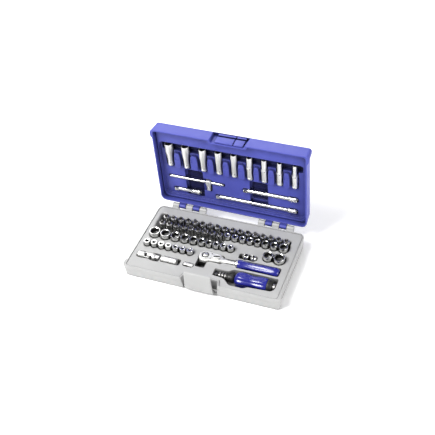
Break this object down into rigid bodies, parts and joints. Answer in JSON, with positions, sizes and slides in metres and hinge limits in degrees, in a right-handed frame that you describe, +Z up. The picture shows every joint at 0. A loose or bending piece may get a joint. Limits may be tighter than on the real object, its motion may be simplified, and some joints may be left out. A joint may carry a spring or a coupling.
{
  "type": "socket wrench set in case",
  "caption": "Quarter-inch socket wrench set in a hinged plastic case, with a ratchet, spinner handle, sockets, bits, extension bars, T-bar and universal joint seated in moulded trays.",
  "frame": {"origin": "centre of the base's underside, with the case standing open", "axes": "+X along the hinge to the right, +Y from the latch to the hinge, +Z up"},
  "size_m": [0.281, 0.197, 0.1925],
  "materials": {
    "base_plastic": "light grey moulded case plastic with a fine spark texture",
    "lid_plastic": "violet blue moulded case plastic, satin",
    "chrome": "satin to bright chrome plate",
    "bit_steel": "darker tool steel",
    "pin_steel": "drawn steel wire",
    "grip_blue": "glossy blue moulded grip",
    "grip_black": "black moulded plastic"
  },
  "bodies": {
    "base": {"base_shell": "base_plastic", "base_tray": "base_plastic", "hinge_pin_left": "pin_steel", "hinge_pin_right": "pin_steel"},
    "lid": {"lid_shell": "lid_plastic", "lid_tray": "lid_plastic"},
    "latch": {"latch": "base_plastic"},
    "deep_socket_1": {"deep_socket_1": "chrome"},
    "deep_socket_2": {"deep_socket_2": "chrome"},
    "deep_socket_3": {"deep_socket_3": "chrome"},
    "deep_socket_4": {"deep_socket_4": "chrome"},
    "deep_socket_5": {"deep_socket_5": "chrome"},
    "deep_socket_6": {"deep_socket_6": "chrome"},
    "deep_socket_7": {"deep_socket_7": "chrome"},
    "deep_socket_8": {"deep_socket_8": "chrome"},
    "deep_socket_9": {"deep_socket_9": "chrome"},
    "tbar": {"tbar_rod": "chrome"},
    "extension_50": {"extension_50": "chrome"},
    "extension_100": {"extension_100": "chrome"},
    "extension_150": {"extension_150": "chrome"},
    "tbar_head": {"tbar_head": "chrome"},
    "ratchet": {"ratchet_body": "chrome", "ratchet_cover": "chrome", "ratchet_grip": "grip_blue"},
    "ratchet_drive": {"ratchet_drive": "bit_steel"},
    "ratchet_lever": {"ratchet_lever": "chrome"},
    "ratchet_button": {"ratchet_button": "chrome"},
    "driver": {"driver_shaft": "grip_black", "driver_grip": "grip_blue", "driver_end": "grip_black"},
    "ujoint": {"ujoint_socket": "chrome"},
    "ujoint_cross": {"ujoint_cross": "bit_steel"},
    "ujoint_drive": {"ujoint_drive": "chrome"},
    "coupler": {"coupler": "chrome"},
    "small_adapter": {"small_adapter": "chrome"},
    "bit_holder_1": {"bit_holder_1": "chrome"},
    "bit_holder_2": {"bit_holder_2": "chrome"},
    "metric_socket_1": {"metric_socket_1": "chrome"},
    "metric_socket_2": {"metric_socket_2": "chrome"},
    "metric_socket_3": {"metric_socket_3": "chrome"},
    "metric_socket_4": {"metric_socket_4": "chrome"},
    "metric_socket_5": {"metric_socket_5": "chrome"},
    "metric_socket_6": {"metric_socket_6": "chrome"},
    "metric_socket_7": {"metric_socket_7": "chrome"},
    "metric_socket_8": {"metric_socket_8": "chrome"},
    "metric_socket_9": {"metric_socket_9": "chrome"},
    "metric_socket_10": {"metric_socket_10": "chrome"},
    "inch_socket_1": {"inch_socket_1": "chrome"},
    "inch_socket_2": {"inch_socket_2": "chrome"},
    "inch_socket_3": {"inch_socket_3": "chrome"},
    "inch_socket_4": {"inch_socket_4": "chrome"},
    "inch_socket_5": {"inch_socket_5": "chrome"},
    "inch_socket_6": {"inch_socket_6": "chrome"},
    "inch_socket_7": {"inch_socket_7": "chrome"},
    "inch_socket_8": {"inch_socket_8": "chrome"},
    "large_socket_1": {"large_socket_1": "chrome"},
    "large_socket_2": {"large_socket_2": "chrome"},
    "small_socket_row": {"small_socket_row": "chrome"},
    "bit_row_middle": {"bit_row_middle": "bit_steel"},
    "bit_row_back": {"bit_row_back": "bit_steel"}
  },
  "joints": [
    {"name": "lid_hinge", "type": "hinge", "parent": "base", "child": "lid", "pos_m": [0, 0.086, 0.0275], "axis": [-1, 0, 0], "range_deg": [-90, 0]},
    {"name": "latch_pivot", "type": "hinge", "parent": "base", "child": "latch", "pos_m": [0, -0.075, 0.006], "axis": [1, 0, 0], "range_deg": [-6, 50]},
    {"name": "deep_socket_1_pull", "type": "slide", "parent": "lid", "child": "deep_socket_1", "axis": [0, -1, 0], "range_m": [0, 0.025]},
    {"name": "deep_socket_2_pull", "type": "slide", "parent": "lid", "child": "deep_socket_2", "axis": [0, -1, 0], "range_m": [0, 0.025]},
    {"name": "deep_socket_3_pull", "type": "slide", "parent": "lid", "child": "deep_socket_3", "axis": [0, -1, 0], "range_m": [0, 0.025]},
    {"name": "deep_socket_4_pull", "type": "slide", "parent": "lid", "child": "deep_socket_4", "axis": [0, -1, 0], "range_m": [0, 0.025]},
    {"name": "deep_socket_5_pull", "type": "slide", "parent": "lid", "child": "deep_socket_5", "axis": [0, -1, 0], "range_m": [0, 0.025]},
    {"name": "deep_socket_6_pull", "type": "slide", "parent": "lid", "child": "deep_socket_6", "axis": [0, -1, 0], "range_m": [0, 0.025]},
    {"name": "deep_socket_7_pull", "type": "slide", "parent": "lid", "child": "deep_socket_7", "axis": [0, -1, 0], "range_m": [0, 0.025]},
    {"name": "deep_socket_8_pull", "type": "slide", "parent": "lid", "child": "deep_socket_8", "axis": [0, -1, 0], "range_m": [0, 0.025]},
    {"name": "deep_socket_9_pull", "type": "slide", "parent": "lid", "child": "deep_socket_9", "axis": [0, -1, 0], "range_m": [0, 0.025]},
    {"name": "tbar_pull", "type": "slide", "parent": "lid", "child": "tbar", "axis": [0, -1, 0], "range_m": [0, 0.025]},
    {"name": "extension_50_pull", "type": "slide", "parent": "lid", "child": "extension_50", "axis": [0, -1, 0], "range_m": [0, 0.025]},
    {"name": "extension_100_pull", "type": "slide", "parent": "lid", "child": "extension_100", "axis": [0, -1, 0], "range_m": [0, 0.025]},
    {"name": "extension_150_pull", "type": "slide", "parent": "lid", "child": "extension_150", "axis": [0, -1, 0], "range_m": [0, 0.025]},
    {"name": "tbar_head_slide", "type": "slide", "parent": "tbar", "child": "tbar_head", "axis": [1, 0, 0], "range_m": [-0.036, 0]},
    {"name": "ratchet_lift", "type": "slide", "parent": "base", "child": "ratchet", "axis": [0, 0, 1], "range_m": [0, 0.03]},
    {"name": "ratchet_drive_spin", "type": "hinge", "parent": "ratchet", "child": "ratchet_drive", "pos_m": [-0.01, -0.0198, 0.02], "axis": [0, 0, 1], "continuous": true},
    {"name": "ratchet_lever_turn", "type": "hinge", "parent": "ratchet", "child": "ratchet_lever", "pos_m": [0.009, -0.0198, 0.03], "axis": [0, 0, 1], "range_deg": [0, 50]},
    {"name": "ratchet_button_press", "type": "slide", "parent": "ratchet", "child": "ratchet_button", "axis": [0, 0, -1], "range_m": [0, 0.002], "stiffness_N_per_m": 300, "springref_m": -0.0006},
    {"name": "driver_lift", "type": "slide", "parent": "base", "child": "driver", "axis": [0, 0, 1], "range_m": [0, 0.03]},
    {"name": "ujoint_lift", "type": "slide", "parent": "base", "child": "ujoint", "axis": [0, 0, 1], "range_m": [0, 0.03]},
    {"name": "ujoint_yaw", "type": "hinge", "parent": "ujoint", "child": "ujoint_cross", "pos_m": [-0.105, -0.046, 0.025], "axis": [0, 0, 1], "range_deg": [-15, 15]},
    {"name": "ujoint_pitch", "type": "hinge", "parent": "ujoint_cross", "child": "ujoint_drive", "pos_m": [-0.105, -0.046, 0.025], "axis": [0, -1, 0], "range_deg": [0, 35]},
    {"name": "coupler_lift", "type": "slide", "parent": "base", "child": "coupler", "axis": [0, 0, 1], "range_m": [0, 0.03]},
    {"name": "small_adapter_lift", "type": "slide", "parent": "base", "child": "small_adapter", "axis": [0, 0, 1], "range_m": [0, 0.03]},
    {"name": "bit_holder_1_lift", "type": "slide", "parent": "base", "child": "bit_holder_1", "axis": [0, 0, 1], "range_m": [0, 0.03]},
    {"name": "bit_holder_2_lift", "type": "slide", "parent": "base", "child": "bit_holder_2", "axis": [0, 0, 1], "range_m": [0, 0.03]},
    {"name": "metric_socket_1_lift", "type": "slide", "parent": "base", "child": "metric_socket_1", "axis": [0, 0, 1], "range_m": [0, 0.03]},
    {"name": "metric_socket_2_lift", "type": "slide", "parent": "base", "child": "metric_socket_2", "axis": [0, 0, 1], "range_m": [0, 0.03]},
    {"name": "metric_socket_3_lift", "type": "slide", "parent": "base", "child": "metric_socket_3", "axis": [0, 0, 1], "range_m": [0, 0.03]},
    {"name": "metric_socket_4_lift", "type": "slide", "parent": "base", "child": "metric_socket_4", "axis": [0, 0, 1], "range_m": [0, 0.03]},
    {"name": "metric_socket_5_lift", "type": "slide", "parent": "base", "child": "metric_socket_5", "axis": [0, 0, 1], "range_m": [0, 0.03]},
    {"name": "metric_socket_6_lift", "type": "slide", "parent": "base", "child": "metric_socket_6", "axis": [0, 0, 1], "range_m": [0, 0.03]},
    {"name": "metric_socket_7_lift", "type": "slide", "parent": "base", "child": "metric_socket_7", "axis": [0, 0, 1], "range_m": [0, 0.03]},
    {"name": "metric_socket_8_lift", "type": "slide", "parent": "base", "child": "metric_socket_8", "axis": [0, 0, 1], "range_m": [0, 0.03]},
    {"name": "metric_socket_9_lift", "type": "slide", "parent": "base", "child": "metric_socket_9", "axis": [0, 0, 1], "range_m": [0, 0.03]},
    {"name": "metric_socket_10_lift", "type": "slide", "parent": "base", "child": "metric_socket_10", "axis": [0, 0, 1], "range_m": [0, 0.03]},
    {"name": "inch_socket_1_lift", "type": "slide", "parent": "base", "child": "inch_socket_1", "axis": [0, 0, 1], "range_m": [0, 0.03]},
    {"name": "inch_socket_2_lift", "type": "slide", "parent": "base", "child": "inch_socket_2", "axis": [0, 0, 1], "range_m": [0, 0.03]},
    {"name": "inch_socket_3_lift", "type": "slide", "parent": "base", "child": "inch_socket_3", "axis": [0, 0, 1], "range_m": [0, 0.03]},
    {"name": "inch_socket_4_lift", "type": "slide", "parent": "base", "child": "inch_socket_4", "axis": [0, 0, 1], "range_m": [0, 0.03]},
    {"name": "inch_socket_5_lift", "type": "slide", "parent": "base", "child": "inch_socket_5", "axis": [0, 0, 1], "range_m": [0, 0.03]},
    {"name": "inch_socket_6_lift", "type": "slide", "parent": "base", "child": "inch_socket_6", "axis": [0, 0, 1], "range_m": [0, 0.03]},
    {"name": "inch_socket_7_lift", "type": "slide", "parent": "base", "child": "inch_socket_7", "axis": [0, 0, 1], "range_m": [0, 0.03]},
    {"name": "inch_socket_8_lift", "type": "slide", "parent": "base", "child": "inch_socket_8", "axis": [0, 0, 1], "range_m": [0, 0.03]},
    {"name": "large_socket_1_lift", "type": "slide", "parent": "base", "child": "large_socket_1", "axis": [0, 0, 1], "range_m": [0, 0.03]},
    {"name": "large_socket_2_lift", "type": "slide", "parent": "base", "child": "large_socket_2", "axis": [0, 0, 1], "range_m": [0, 0.03]},
    {"name": "small_socket_row_lift", "type": "slide", "parent": "base", "child": "small_socket_row", "axis": [0, 0, 1], "range_m": [0, 0.03]},
    {"name": "bit_row_middle_lift", "type": "slide", "parent": "base", "child": "bit_row_middle", "axis": [0, 0, 1], "range_m": [0, 0.03]},
    {"name": "bit_row_back_lift", "type": "slide", "parent": "base", "child": "bit_row_back", "axis": [0, 0, 1], "range_m": [0, 0.03]}
  ]
}
